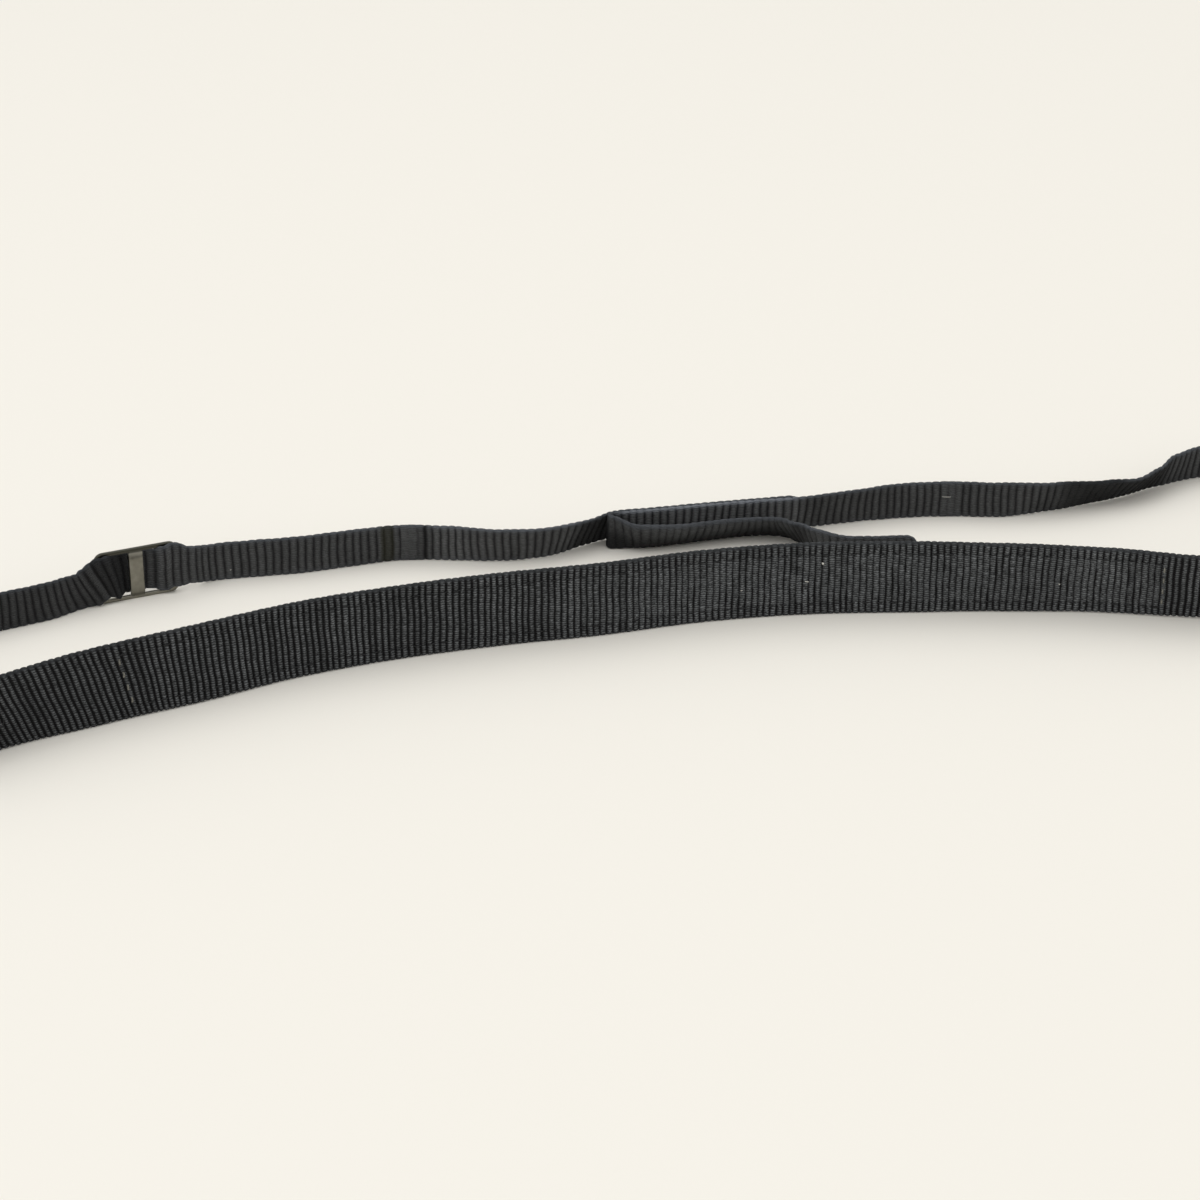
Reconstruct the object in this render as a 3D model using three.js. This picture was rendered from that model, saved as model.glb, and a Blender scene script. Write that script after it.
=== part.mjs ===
// A camera neck strap, standing on its edge: a wide neck web with a backing strip sewn behind it,
// a narrow web tail sewn to each of its ends, and a flat metal slider on each tail.
// Millimetres, +Z up, the strap stands on Z = 0. +X runs along the neck web to the right and +Y
// points to the tails behind it. The origin is under the middle of the whole strap.
// Every web follows one route in plan, from the left tail's free end round the loop to the right
// tail's free end, and each web is a flat section carried along its own stretch of that route.
import * as THREE from "three";

// Driving dimensions
const layWidth = 400; // reach of the laid loop along X
const layDepth = 200; // scale of the laid loop along Y
const neckWidth = 19;
const neckThickness = 1.7;
const backingWidth = 14.6;
const backingThickness = 1.0;
const seamSpan = 252.5; // length of the backing, from one cross seam to the other
const neckPastSeam = 50; // the neck web runs on past each cross seam
const lapLength = 22; // each tail lies this far on the back of the neck web
const lapEase = 18; // past the lap, the tail comes back onto the route over this length
const tailWidth = 10;
const tailThickness = 1.3;
const dropRun = 60; // a tail comes down from the neck web's middle to the table over this length
const foldGap = 1.0; // clear space between the right tail and its folded end
const foldLean = 12; // degrees that the fold leans forward
const foldedEnd = 77.5; // length of the right tail that the folded end reaches back along
const endSwing = 29; // how far the folded end's tip swings forward of the tail
const tipRound = 3; // rounding of a tail's free end
const pieceGap = 0.3; // clearance between neighbouring pieces
const edgeShare = 0.32; // share of a web's thickness taken off each corner of its section
const sliderLength = 21;
const sliderPlate = 1.0;
const sliderRail = 1.0; // height of the bars along the slider's two long sides
const sliderEndBar = 2.2;
const sliderMiddleBar = 3.6;
const sliderCorner = 2.2;
const slotPlay = 1.4; // a slot is this much higher than the tail is wide
const slotCorner = 0.5;
const weaveFrom = 0.2; // the tail starts across a slot at this share of the slot's length
const sliderLead = 9; // the tail comes back to its route over this length outside the slider
const sliderRide = 0.6; // where the tail is in front of an end bar, it rides up this much
const sliderLift = 12; // the tail comes down from the slider to the table over this length
const sliderDrop = 5; // and over this shorter length on the neck web's side
const neckMiddle = 0.4875; // place of the neck web's middle, as a share of the whole route

// The route in plan. x and y are shares of layWidth and layDepth. lean is the angle in degrees by
// which a web's top edge tips to the left of the direction of travel, and slant is how far the
// top edge runs ahead of the bottom one, as a share of the web's width. A slider's middle is on
// the row that names it, in a straight stretch as long as the slider.
const route = [
  { x: 0.127, y: 0.2173, lean: 23, slant: 0 }, // the left tail's free end, behind the right tail
  { x: 0.094, y: 0.2043, lean: 23, slant: 0 },
  { x: 0.062, y: 0.1913, lean: 23, slant: 0 },
  { x: 0.031, y: 0.1773, lean: 23, slant: 0 },
  { x: 0.007, y: 0.1675, lean: 24, slant: 0 },
  { x: -0.008, y: 0.147, lean: 28, slant: 0 },
  { x: -0.032, y: 0.116, lean: 21, slant: 0 },
  { x: -0.062, y: 0.105, lean: 15, slant: 0 },
  { x: -0.094, y: 0.111, lean: 8, slant: 0 },
  { x: -0.125, y: 0.112, lean: 5, slant: 0 },
  { x: -0.155, y: 0.096, lean: 1, slant: 0 },
  { x: -0.186, y: 0.077, lean: 0, slant: 0 },
  { x: -0.217, y: 0.065, lean: 0, slant: 0 },
  { x: -0.2385, y: 0.0545, lean: 0, slant: 0 },
  { x: -0.252, y: 0.035, lean: 0, slant: 0 },
  { x: -0.257, y: 0.0305, lean: 0, slant: 0 },
  { x: -0.282, y: 0.008, lean: 0, slant: 0, slider: "left_slider" },
  { x: -0.307, y: -0.0145, lean: 0, slant: 0.5 },
  { x: -0.312, y: -0.019, lean: 0, slant: 0.5 },
  { x: -0.328, y: -0.05, lean: 0, slant: 0.2 },
  { x: -0.358, y: -0.084, lean: 0, slant: 0 },
  { x: -0.415, y: -0.158, lean: 0, slant: 0 },
  { x: -0.459, y: -0.206, lean: 0, slant: 0 },
  { x: -0.489, y: -0.268, lean: 0, slant: 0 },
  { x: -0.491, y: -0.352, lean: 0, slant: 0 }, // the loop's left end
  { x: -0.461, y: -0.428, lean: 0, slant: 0 },
  { x: -0.412, y: -0.462, lean: 0, slant: -0.06 },
  { x: -0.37, y: -0.441, lean: -3, slant: -0.25 },
  { x: -0.332, y: -0.383, lean: -5, slant: -0.4 },
  { x: -0.281, y: -0.318, lean: 3, slant: -0.25 },
  { x: -0.228, y: -0.261, lean: 5, slant: -0.07 },
  { x: -0.174, y: -0.201, lean: 2, slant: -0.04 },
  { x: -0.117, y: -0.156, lean: 0, slant: 0 },
  { x: -0.059, y: -0.122, lean: 0, slant: 0 },
  { x: 0, y: -0.095, lean: 0, slant: 0 },
  { x: 0.06, y: -0.06, lean: 0, slant: 0 },
  { x: 0.121, y: -0.039, lean: 0, slant: 0 },
  { x: 0.182, y: -0.034, lean: -1, slant: 0 },
  { x: 0.242, y: -0.035, lean: -6, slant: 0 },
  { x: 0.302, y: -0.042, lean: -11, slant: 0 },
  { x: 0.36, y: -0.06, lean: -15, slant: 0 },
  { x: 0.412, y: -0.063, lean: -7, slant: 0 },
  { x: 0.457, y: -0.035, lean: -3, slant: 0 },
  { x: 0.489, y: 0.015, lean: 0, slant: 0 },
  { x: 0.502, y: 0.08, lean: 0, slant: 0 },
  { x: 0.502, y: 0.12, lean: 0, slant: 0 },
  { x: 0.502, y: 0.18, lean: 0, slant: 0, slider: "right_slider" }, // the loop's right end
  { x: 0.502, y: 0.24, lean: 0, slant: 0 },
  { x: 0.502, y: 0.28, lean: 0, slant: 0 },
  { x: 0.485, y: 0.347, lean: 2, slant: 0 },
  { x: 0.45, y: 0.384, lean: 5, slant: 0 },
  { x: 0.398, y: 0.367, lean: 10, slant: 0 },
  { x: 0.376, y: 0.342, lean: 18, slant: 0 },
  { x: 0.361, y: 0.318, lean: 37, slant: 0 },
  { x: 0.346, y: 0.295, lean: 44, slant: 0 },
  { x: 0.325, y: 0.277, lean: 36, slant: 0 },
  { x: 0.291, y: 0.254, lean: 21, slant: 0 },
  { x: 0.258, y: 0.243, lean: 5, slant: 0 },
  { x: 0.226, y: 0.246, lean: 3, slant: 0 },
  { x: 0.193, y: 0.24, lean: 4, slant: 0 },
  { x: 0.161, y: 0.223, lean: 12, slant: 0 },
  { x: 0.128, y: 0.204, lean: 14, slant: 0 },
  { x: 0.095, y: 0.191, lean: 12, slant: 0 },
  { x: 0.063, y: 0.178, lean: 12, slant: 0 },
  { x: 0.032, y: 0.164, lean: 12, slant: 0 },
  { x: 0.008, y: 0.1545, lean: 12, slant: 0 }, // the fold starts here
];

// The folded end of the right tail. back is how far it has come back along the tail, as a share of
// foldedEnd. aside is how far it has swung forward of the fold, as a share of endSwing.
const folded = [
  { back: 0.09, aside: 0.08, lean: -34 },
  { back: 0.23, aside: 0.09, lean: -40 },
  { back: 0.35, aside: 0.07, lean: -40 },
  { back: 0.48, aside: 0.07, lean: -42 },
  { back: 0.56, aside: 0.13, lean: -41 },
  { back: 0.61, aside: 0.3, lean: -35 },
  { back: 0.66, aside: 0.54, lean: -22 },
  { back: 0.71, aside: 0.73, lean: -12 },
  { back: 0.765, aside: 0.87, lean: -5 },
  { back: 0.85, aside: 0.95, lean: 0 },
  { back: 1, aside: 1.02, lean: 0 },
];

// How finely curves are cut into flat faces
const samplesPerRow = 24;
const longestStep = 6;
const largestTurn = 14; // degrees between two neighbouring sections
const foldRows = 5;
const tipStations = 4;
const cornerFaces = 3;

const radians = THREE.MathUtils.degToRad;
const smooth = THREE.MathUtils.smoothstep;
const mix = THREE.MathUtils.lerp;

// Every row of the whole route in millimetres: the main table, the fold as a half circle and then
// the folded end, which is set off from the tail that it came back along.
function routeRows() {
  const main = route.map((row) => ({ ...row, x: row.x * layWidth, y: row.y * layDepth }));
  const last = main[main.length - 1];
  const before = main[main.length - 2];
  const heading = Math.atan2(last.y - before.y, last.x - before.x);
  const foldPitch = tailThickness + foldGap;
  const centre = {
    x: last.x - (Math.sin(heading) * foldPitch) / 2,
    y: last.y + (Math.cos(heading) * foldPitch) / 2,
  };
  const fold = [];
  for (let k = 1; k <= foldRows; k++) {
    const turn = (Math.PI * k) / foldRows;
    fold.push({
      x: centre.x + (Math.sin(heading + turn) * foldPitch) / 2,
      y: centre.y - (Math.cos(heading + turn) * foldPitch) / 2,
      lean: foldLean * Math.cos(turn),
      slant: Math.tan(radians(foldLean)) * Math.sin(turn),
    });
  }
  const tail = measured(main);
  const end = folded.map((row) => {
    const p = at(tail, tail.total - row.back * foldedEnd);
    const away = foldPitch + row.aside * endSwing;
    return { x: p.x, y: p.y - away, lean: row.lean, slant: 0 };
  });
  return [...main, ...fold, ...end];
}

// A curve through the rows, sampled finely, with the length along it at each sample.
function measured(rows) {
  const points = rows.map((row) => new THREE.Vector3(row.x, row.y, 0));
  const curve = new THREE.CatmullRomCurve3(points, false, "centripetal");
  const count = (rows.length - 1) * samplesPerRow;
  const samples = [];
  let s = 0;
  for (let i = 0; i <= count; i++) {
    const p = curve.getPoint(i / count);
    const row = Math.min(Math.floor(i / samplesPerRow), rows.length - 2);
    const f = smooth(i / samplesPerRow - row, 0, 1);
    if (i > 0) s += Math.hypot(p.x - samples[i - 1].x, p.y - samples[i - 1].y);
    samples.push({
      x: p.x,
      y: p.y,
      s,
      lean: mix(rows[row].lean, rows[row + 1].lean, f),
      slant: mix(rows[row].slant, rows[row + 1].slant, f),
    });
  }
  samples.forEach((p, i) => {
    const a = samples[Math.max(i - 1, 0)];
    const b = samples[Math.min(i + 1, count)];
    p.heading = Math.atan2(b.y - a.y, b.x - a.x);
    if (i > 0) p.heading = samples[i - 1].heading + wrapped(p.heading - samples[i - 1].heading);
  });
  return { samples, total: s };
}

function wrapped(angle) {
  return Math.atan2(Math.sin(angle), Math.cos(angle));
}

// The place, heading, lean and slant at one length along a measured route.
function at(line, s) {
  const { samples } = line;
  let low = 0;
  let high = samples.length - 1;
  while (high - low > 1) {
    const middle = (low + high) >> 1;
    if (samples[middle].s <= s) low = middle;
    else high = middle;
  }
  const a = samples[low];
  const b = samples[high];
  const f = THREE.MathUtils.clamp((s - a.s) / (b.s - a.s), 0, 1);
  const out = { s };
  for (const key of ["x", "y", "heading", "lean", "slant"]) out[key] = mix(a[key], b[key], f);
  return out;
}

const line = measured(routeRows());
const neckHalf = seamSpan / 2 + neckPastSeam;
const neckAt = neckMiddle * line.total;
const neckFrom = neckAt - neckHalf;
const neckTo = neckAt + neckHalf;
const sliders = route.flatMap((row, i) =>
  row.slider ? [{ name: row.slider, at: line.samples[i * samplesPerRow].s }] : [],
);
const fromSlider = (s) => Math.min(...sliders.map((slider) => Math.abs(s - slider.at)));
const slotHeight = tailWidth + slotPlay;
const sliderHeight = slotHeight + 2 * sliderRail;
const slotLength = (sliderLength - 2 * sliderEndBar - sliderMiddleBar) / 2;

// How far a tail stands off the route, towards the inside of the loop: on the neck web's back in
// the lap, in front of a slider's end bars and behind its middle bar.
function tailOffset(s) {
  const lap = (neckThickness + tailThickness) / 2 + pieceGap;
  const inside = Math.min(s - neckFrom, neckTo - s);
  const weave = (sliderPlate + tailThickness) / 2 + pieceGap;
  const d = fromSlider(s);
  const bar = sliderMiddleBar / 2;
  const over = smooth(d, bar + slotLength * weaveFrom, bar + slotLength * (1 - weaveFrom));
  const out = smooth(d, sliderLength / 2, sliderLength / 2 + sliderLead);
  return lap * smooth(inside, -lapEase, -lapEase / 4) + weave * (2 * over - 1) * (1 - out);
}

// How far a tail's lower edge is above the table: at the laps, and at the sliders, where the tail
// is close under the upper rail.
function tailLift(s) {
  const toLap = Math.max(neckFrom - s, s - neckTo, 0);
  const lap = ((neckWidth - tailWidth) / 2) * (1 - smooth(toLap, 0, dropRun));
  const slotEnd = sliderMiddleBar / 2 + slotLength;
  const d = fromSlider(s);
  const inner = s > sliders[0].at && s < sliders[1].at;
  const near = 1 - smooth(d, slotEnd, slotEnd + (inner ? sliderDrop : sliderLift));
  const ride = sliderRide * smooth(d, slotEnd - 1.5, slotEnd + 0.5);
  return Math.max(lap, (sliderRail + slotPlay - pieceGap + ride) * near);
}

// The lengths at which a web is given a section: close together where the route turns.
function stations(from, to) {
  const marks = [from];
  let turn = 0;
  let previous = at(line, from);
  const fine = 0.25;
  for (let s = from + fine; s < to - fine; s += fine) {
    const here = at(line, s);
    turn += Math.abs(here.heading - previous.heading);
    turn += radians(Math.abs(here.lean - previous.lean)) / 2;
    previous = here;
    const step = fromSlider(s) < sliderLength / 2 + sliderLead ? slotLength / 5 : longestStep;
    if (turn > radians(largestTurn) || s - marks[marks.length - 1] >= step) {
      marks.push(s);
      turn = 0;
    }
  }
  marks.push(to);
  return marks;
}

// A closed web: an eight-cornered section carried along the route. width and thickness are the
// web's own, offset and lift are functions of the length, and roundTip rounds its start or end.
function web({ from, to, width, thickness, offset, lift, roundTip }) {
  const marks = stations(from, to);
  if (roundTip) addTip(marks, roundTip === "start");
  const cut = thickness * edgeShare;
  const halfT = thickness / 2;
  const positions = [];
  for (const s of marks) {
    const p = at(line, s);
    const fromTip = roundTip === "start" ? s - from : roundTip === "end" ? to - s : tipRound;
    const short = tipRound - Math.sqrt(tipRound ** 2 - Math.max(tipRound - fromTip, 0) ** 2);
    const halfW = width / 2 - short;
    const lean = radians(p.lean);
    const along = new THREE.Vector3(Math.cos(p.heading), Math.sin(p.heading), 0);
    const left = new THREE.Vector3(-along.y, along.x, 0);
    const up = new THREE.Vector3(0, 0, Math.cos(lean)).addScaledVector(left, Math.sin(lean));
    const out = left.clone().multiplyScalar(Math.cos(lean));
    out.z = -Math.sin(lean);
    const rise = (width / 2) * Math.cos(lean) + halfT * Math.abs(Math.sin(lean)) + lift(s);
    const middle = new THREE.Vector3(p.x, p.y, rise).addScaledVector(left, offset(s));
    const ring = [
      [halfW, halfT - cut],
      [halfW - cut, halfT],
      [cut - halfW, halfT],
      [-halfW, halfT - cut],
      [-halfW, cut - halfT],
      [cut - halfW, -halfT],
      [halfW - cut, -halfT],
      [halfW, cut - halfT],
    ];
    for (const [u, n] of ring) {
      const v = middle.clone().addScaledVector(up, u).addScaledVector(out, n);
      v.addScaledVector(along, p.slant * u);
      positions.push(v.x, v.y, v.z);
    }
  }
  return closedSweep(positions, marks.length, 8);
}

function addTip(marks, atStart) {
  const end = atStart ? marks[0] : marks[marks.length - 1];
  const sign = atStart ? 1 : -1;
  const kept = marks.filter((s) => s === end || Math.abs(s - end) > tipRound * 1.2);
  for (let k = 1; k <= tipStations; k++) {
    const turn = (Math.PI / 2) * (k / tipStations);
    kept.push(end + sign * tipRound * (1 - Math.cos(turn)));
  }
  kept.sort((a, b) => a - b);
  marks.splice(0, marks.length, ...kept);
}

// Joins the rings of a sweep to each other and caps both ends.
function closedSweep(positions, rings, sides) {
  const index = [];
  for (let i = 0; i < rings - 1; i++) {
    for (let k = 0; k < sides; k++) {
      const a = i * sides + k;
      const b = i * sides + ((k + 1) % sides);
      index.push(a, a + sides, b, b, a + sides, b + sides);
    }
  }
  const last = (rings - 1) * sides;
  for (let k = 1; k < sides - 1; k++) {
    index.push(0, k, k + 1);
    index.push(last, last + k + 1, last + k);
  }
  const geometry = new THREE.BufferGeometry();
  geometry.setAttribute("position", new THREE.Float32BufferAttribute(positions, 3));
  geometry.setIndex(index);
  geometry.computeVertexNormals();
  return geometry;
}

// A rounded rectangle around a middle point, drawn into a shape or a hole.
function roundedRectangle(path, middleX, width, height, corner) {
  const x = middleX - width / 2;
  const y = -height / 2;
  path.moveTo(x + corner, y);
  path.lineTo(x + width - corner, y);
  path.absarc(x + width - corner, y + corner, corner, -Math.PI / 2, 0, false);
  path.lineTo(x + width, y + height - corner);
  path.absarc(x + width - corner, y + height - corner, corner, 0, Math.PI / 2, false);
  path.lineTo(x + corner, y + height);
  path.absarc(x + corner, y + height - corner, corner, Math.PI / 2, Math.PI, false);
  path.lineTo(x, y + corner);
  path.absarc(x + corner, y + corner, corner, Math.PI, 1.5 * Math.PI, false);
  return path;
}

// The slider: a flat plate with two slots, standing upright in line with its tail.
function sliderGeometry() {
  const shape = roundedRectangle(new THREE.Shape(), 0, sliderLength, sliderHeight, sliderCorner);
  const slotMiddle = (sliderMiddleBar + slotLength) / 2;
  for (const side of [-1, 1]) {
    const slot = roundedRectangle(new THREE.Path(), side * slotMiddle, slotLength, slotHeight, slotCorner);
    shape.holes.push(slot);
  }
  const geometry = new THREE.ExtrudeGeometry(shape, {
    depth: sliderPlate,
    bevelEnabled: false,
    curveSegments: cornerFaces,
  });
  geometry.translate(0, 0, -sliderPlate / 2);
  geometry.rotateX(Math.PI / 2);
  return geometry;
}

function piece(name, geometry, material) {
  const mesh = new THREE.Mesh(geometry, material);
  mesh.name = name;
  return mesh;
}

function slider(name, s) {
  const mesh = piece(name, sliderGeometry(), sliderMetal);
  const p = at(line, s);
  mesh.position.set(p.x, p.y, sliderHeight / 2);
  mesh.rotation.z = p.heading;
  return mesh;
}

const neckCloth = new THREE.MeshStandardMaterial({ color: 0x2a2a2b, roughness: 0.85 });
const backingCloth = new THREE.MeshStandardMaterial({ color: 0x1d1d1e, roughness: 0.9 });
const tailCloth = new THREE.MeshStandardMaterial({ color: 0x2e2e2f, roughness: 0.8 });
const sliderMetal = new THREE.MeshStandardMaterial({ color: 0x77746b, roughness: 0.4, metalness: 1 });

const none = () => 0;
const backingOffset = (neckThickness + backingThickness) / 2 + pieceGap;
const tail = {
  width: tailWidth,
  thickness: tailThickness,
  offset: tailOffset,
  lift: tailLift,
};

const neckWeb = web({
  from: neckFrom,
  to: neckTo,
  width: neckWidth,
  thickness: neckThickness,
  offset: none,
  lift: none,
});
const backing = web({
  from: neckAt - seamSpan / 2,
  to: neckAt + seamSpan / 2,
  width: backingWidth,
  thickness: backingThickness,
  offset: () => backingOffset,
  lift: () => (neckWidth - backingWidth) / 2,
});
const leftTail = web({ ...tail, from: 0, to: neckFrom + lapLength, roundTip: "start" });
const rightTail = web({ ...tail, from: neckTo - lapLength, to: line.total, roundTip: "end" });

const strap = new THREE.Group();
strap.add(
  piece("neck_web", neckWeb, neckCloth),
  piece("neck_backing", backing, backingCloth),
  piece("left_tail", leftTail, tailCloth),
  piece("right_tail", rightTail, tailCloth),
  ...sliders.map((one) => slider(one.name, one.at)),
);

// The origin goes under the middle of the strap's box.
strap.updateMatrixWorld(true);
const box = new THREE.Box3().setFromObject(strap, true);
strap.position.set(-(box.min.x + box.max.x) / 2, -(box.min.y + box.max.y) / 2, -box.min.z);
strap.updateMatrixWorld(true);

export default strap;
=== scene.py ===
"""A camera neck strap standing on its edge: ribbed nylon webs, a sewn backing and metal sliders.

Every web follows one route in plan, from the left tail's free end round the loop to the folded end
of the right tail. A web's surface is a function of the length s along that route and the place in
the web's section. Everything is in metres, in the frame of the solids."""
import math

import bmesh
import bpy
import numpy as np
from bpy.props import FloatProperty, FloatVectorProperty, PointerProperty
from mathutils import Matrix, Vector


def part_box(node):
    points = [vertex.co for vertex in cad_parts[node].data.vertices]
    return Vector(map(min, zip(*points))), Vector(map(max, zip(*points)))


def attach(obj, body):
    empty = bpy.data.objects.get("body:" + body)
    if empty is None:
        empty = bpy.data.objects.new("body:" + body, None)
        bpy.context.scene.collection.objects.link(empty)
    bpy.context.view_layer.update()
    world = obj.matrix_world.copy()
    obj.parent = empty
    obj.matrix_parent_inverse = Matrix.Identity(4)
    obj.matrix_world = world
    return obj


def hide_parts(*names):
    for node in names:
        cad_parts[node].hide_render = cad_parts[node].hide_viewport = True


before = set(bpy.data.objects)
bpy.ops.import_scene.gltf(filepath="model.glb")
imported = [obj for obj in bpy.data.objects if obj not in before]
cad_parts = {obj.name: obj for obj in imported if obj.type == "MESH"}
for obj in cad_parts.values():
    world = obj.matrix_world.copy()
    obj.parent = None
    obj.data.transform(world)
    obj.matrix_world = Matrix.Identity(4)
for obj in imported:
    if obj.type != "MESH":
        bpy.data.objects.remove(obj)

bl_info = {
    "name": "Camera neck strap",
    "version": (1, 0, 0),
    "blender": (4, 5, 0),
    "location": "3D View > Sidebar > Strap",
    "description": "Builds a camera neck strap of ribbed webbing with metal sliders",
    "category": "Mesh",
}

MM = 0.001
PHOTO_SIDE = 1200

# The route in plan: x and y as shares of the lay's width and depth, lean in degrees by which a
# web's top tips to the left of the way, slant as the share of the width by which the top runs
# ahead, and 1 where a slider's middle is.
LAY_WIDTH = 400 * MM
LAY_DEPTH = 200 * MM
ROUTE = np.array([
    (0.127, 0.2173, 23, 0, 0),
    (0.094, 0.2043, 23, 0, 0),
    (0.062, 0.1913, 23, 0, 0),
    (0.031, 0.1773, 23, 0, 0),
    (0.007, 0.1675, 24, 0, 0),
    (-0.008, 0.147, 28, 0, 0),
    (-0.032, 0.116, 21, 0, 0),
    (-0.062, 0.105, 15, 0, 0),
    (-0.094, 0.111, 8, 0, 0),
    (-0.125, 0.112, 5, 0, 0),
    (-0.155, 0.096, 1, 0, 0),
    (-0.186, 0.077, 0, 0, 0),
    (-0.217, 0.065, 0, 0, 0),
    (-0.2385, 0.0545, 0, 0, 0),
    (-0.252, 0.035, 0, 0, 0),
    (-0.257, 0.0305, 0, 0, 0),
    (-0.282, 0.008, 0, 0, 1),
    (-0.307, -0.0145, 0, 0.5, 0),
    (-0.312, -0.019, 0, 0.5, 0),
    (-0.328, -0.05, 0, 0.2, 0),
    (-0.358, -0.084, 0, 0, 0),
    (-0.415, -0.158, 0, 0, 0),
    (-0.459, -0.206, 0, 0, 0),
    (-0.489, -0.268, 0, 0, 0),
    (-0.491, -0.352, 0, 0, 0),
    (-0.461, -0.428, 0, 0, 0),
    (-0.412, -0.462, 0, -0.06, 0),
    (-0.37, -0.441, -3, -0.25, 0),
    (-0.332, -0.383, -5, -0.4, 0),
    (-0.281, -0.318, 3, -0.25, 0),
    (-0.228, -0.261, 5, -0.07, 0),
    (-0.174, -0.201, 2, -0.04, 0),
    (-0.117, -0.156, 0, 0, 0),
    (-0.059, -0.122, 0, 0, 0),
    (0, -0.095, 0, 0, 0),
    (0.06, -0.06, 0, 0, 0),
    (0.121, -0.039, 0, 0, 0),
    (0.182, -0.034, -1, 0, 0),
    (0.242, -0.035, -6, 0, 0),
    (0.302, -0.042, -11, 0, 0),
    (0.36, -0.06, -15, 0, 0),
    (0.412, -0.063, -7, 0, 0),
    (0.457, -0.035, -3, 0, 0),
    (0.489, 0.015, 0, 0, 0),
    (0.502, 0.08, 0, 0, 0),
    (0.502, 0.12, 0, 0, 0),
    (0.502, 0.18, 0, 0, 1),
    (0.502, 0.24, 0, 0, 0),
    (0.502, 0.28, 0, 0, 0),
    (0.485, 0.347, 2, 0, 0),
    (0.45, 0.384, 5, 0, 0),
    (0.398, 0.367, 10, 0, 0),
    (0.376, 0.342, 18, 0, 0),
    (0.361, 0.318, 37, 0, 0),
    (0.346, 0.295, 44, 0, 0),
    (0.325, 0.277, 36, 0, 0),
    (0.291, 0.254, 21, 0, 0),
    (0.258, 0.243, 5, 0, 0),
    (0.226, 0.246, 3, 0, 0),
    (0.193, 0.24, 4, 0, 0),
    (0.161, 0.223, 12, 0, 0),
    (0.128, 0.204, 14, 0, 0),
    (0.095, 0.191, 12, 0, 0),
    (0.063, 0.178, 12, 0, 0),
    (0.032, 0.164, 12, 0, 0),
    (0.008, 0.1545, 12, 0, 0),
])
# The folded end: how far back along the tail, how far it swings forward, and its lean.
FOLDED = np.array([
    (0.09, 0.08, -34),
    (0.23, 0.09, -40),
    (0.35, 0.07, -40),
    (0.48, 0.07, -42),
    (0.56, 0.13, -41),
    (0.61, 0.3, -35),
    (0.66, 0.54, -22),
    (0.71, 0.73, -12),
    (0.765, 0.87, -5),
    (0.85, 0.95, 0),
    (1, 1.02, 0),
])
SAMPLES_PER_ROW = 24
FOLD_ROWS = 5  # in the fold's half circle
FOLD_GAP = 1.0 * MM  # clear space in the fold
FOLD_LEAN = 12  # degrees forward
FOLDED_END = 77.5 * MM  # reaches back along the tail
END_SWING = 29 * MM  # its tip swings forward
NECK_MIDDLE = 0.4875  # share of the route
SEAM_SPAN = 252.5 * MM  # from one cross seam to the other
NECK_PAST_SEAM = 50 * MM
LAP_LENGTH = 22 * MM  # of tail on the neck web's back
LAP_EASE = 18 * MM  # over which a tail moves over to its lap
DROP_RUN = 60 * MM  # over which it comes down to the table
PIECE_GAP = 0.3 * MM  # clear space between two pieces
TIP_ROUND = 3 * MM  # radius of a tail's corners
WEAVE_FROM = 0.2  # share of a slot at each end in which a tail keeps to its side
SLIDER_LEAD = 9 * MM  # past a slider, over which a tail comes back to the middle
SLIDER_RIDE = 0.6 * MM  # higher over an end bar
SLIDER_LIFT = 12 * MM  # over which a tail comes down, away from the neck web
SLIDER_DROP = 5 * MM  # the same, towards the neck web
SLIDER_CORNER = 2.2 * MM
SLOT_CORNER = 0.8 * MM
SLOT_PLAY = 1.4 * MM  # by which a slot is higher than a tail is wide
BAR_CORNER = 0.32 * MM
BAR_SHARE = 0.94  # the middle bar's thickness in the plate's
NECK_CORNER = 0.8 * MM
BACKING_RIB = 1.0 * MM

# A tail is wider by this share over a slider's end bars. It narrows over this length, from this
# far past the slots: the upper and the lower edge towards the neck web, and both on the other
# side. The upper edge widens between these lengths before a slot's outer end.
SLIDER_SPREAD = 0.2
SPREAD_RUN = 3.6 * MM
SPREAD_PAST = (-2.2 * MM, -1 * MM, 1.5 * MM)
SPREAD_ABOVE = (4 * MM, 1.8 * MM)

RIB_UNEVEN = 0.045  # how much the ribs vary in width
CREST_UNEVEN = 0.06  # and in height
RIB_STRAY = 0.09  # how far they stray, as a share of their pitch
STRAY_WAVES = ((2.6 * MM, 23 * MM), (4.5 * MM, 7.3 * MM))  # across and along the web
GAP_PLACES = 9  # across a gap, each closed by its own share
GAP_SEED = 100
LEAST_CLOSED = 0.35
RUBBED = 0.75  # how far rubbing fills the gaps
SHADE_SLOPES = (0.22, 0.55)  # how far down a face looks where its painted shade begins and is full
EDGE_YARN = (0.9 * MM, 0.2 * MM)  # from the web's edge, where its edge colour begins and is full; on the tails that colour is a painted highlight
EDGE_COVER = 0.8

# The seams' rows stand this far above and below the neck web's middle line, in shallow grooves,
# each a bell curve of this reach.
SEAM_ROW = 6.5 * MM
SEAM_GROOVE = 0.16 * MM
ROW_REACH = 0.45 * MM
CROSS_REACH = 0.7 * MM
# The stretch over which wear closes the neck web's gaps, as lengths along the route.
FLATTENED = (478 * MM, 538 * MM)
# The stretch over which the neck web grows lighter towards the right.
FADING = (395 * MM, 490 * MM)
CLOSED_ALL = 0.08  # of every gap of the neck web
CLOSED_FADED = 0.15  # more from the fading stretch towards the right
CLOSED_WORN = 0.52  # more where wear has flattened the web
CLOSED_LESS = 0.4  # the share of that missing outside the sewn rows
DARK_LEFT = 0.2  # darker, left of the fading stretch
DARK_END = 0.1  # more, past the left cross seam
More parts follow.
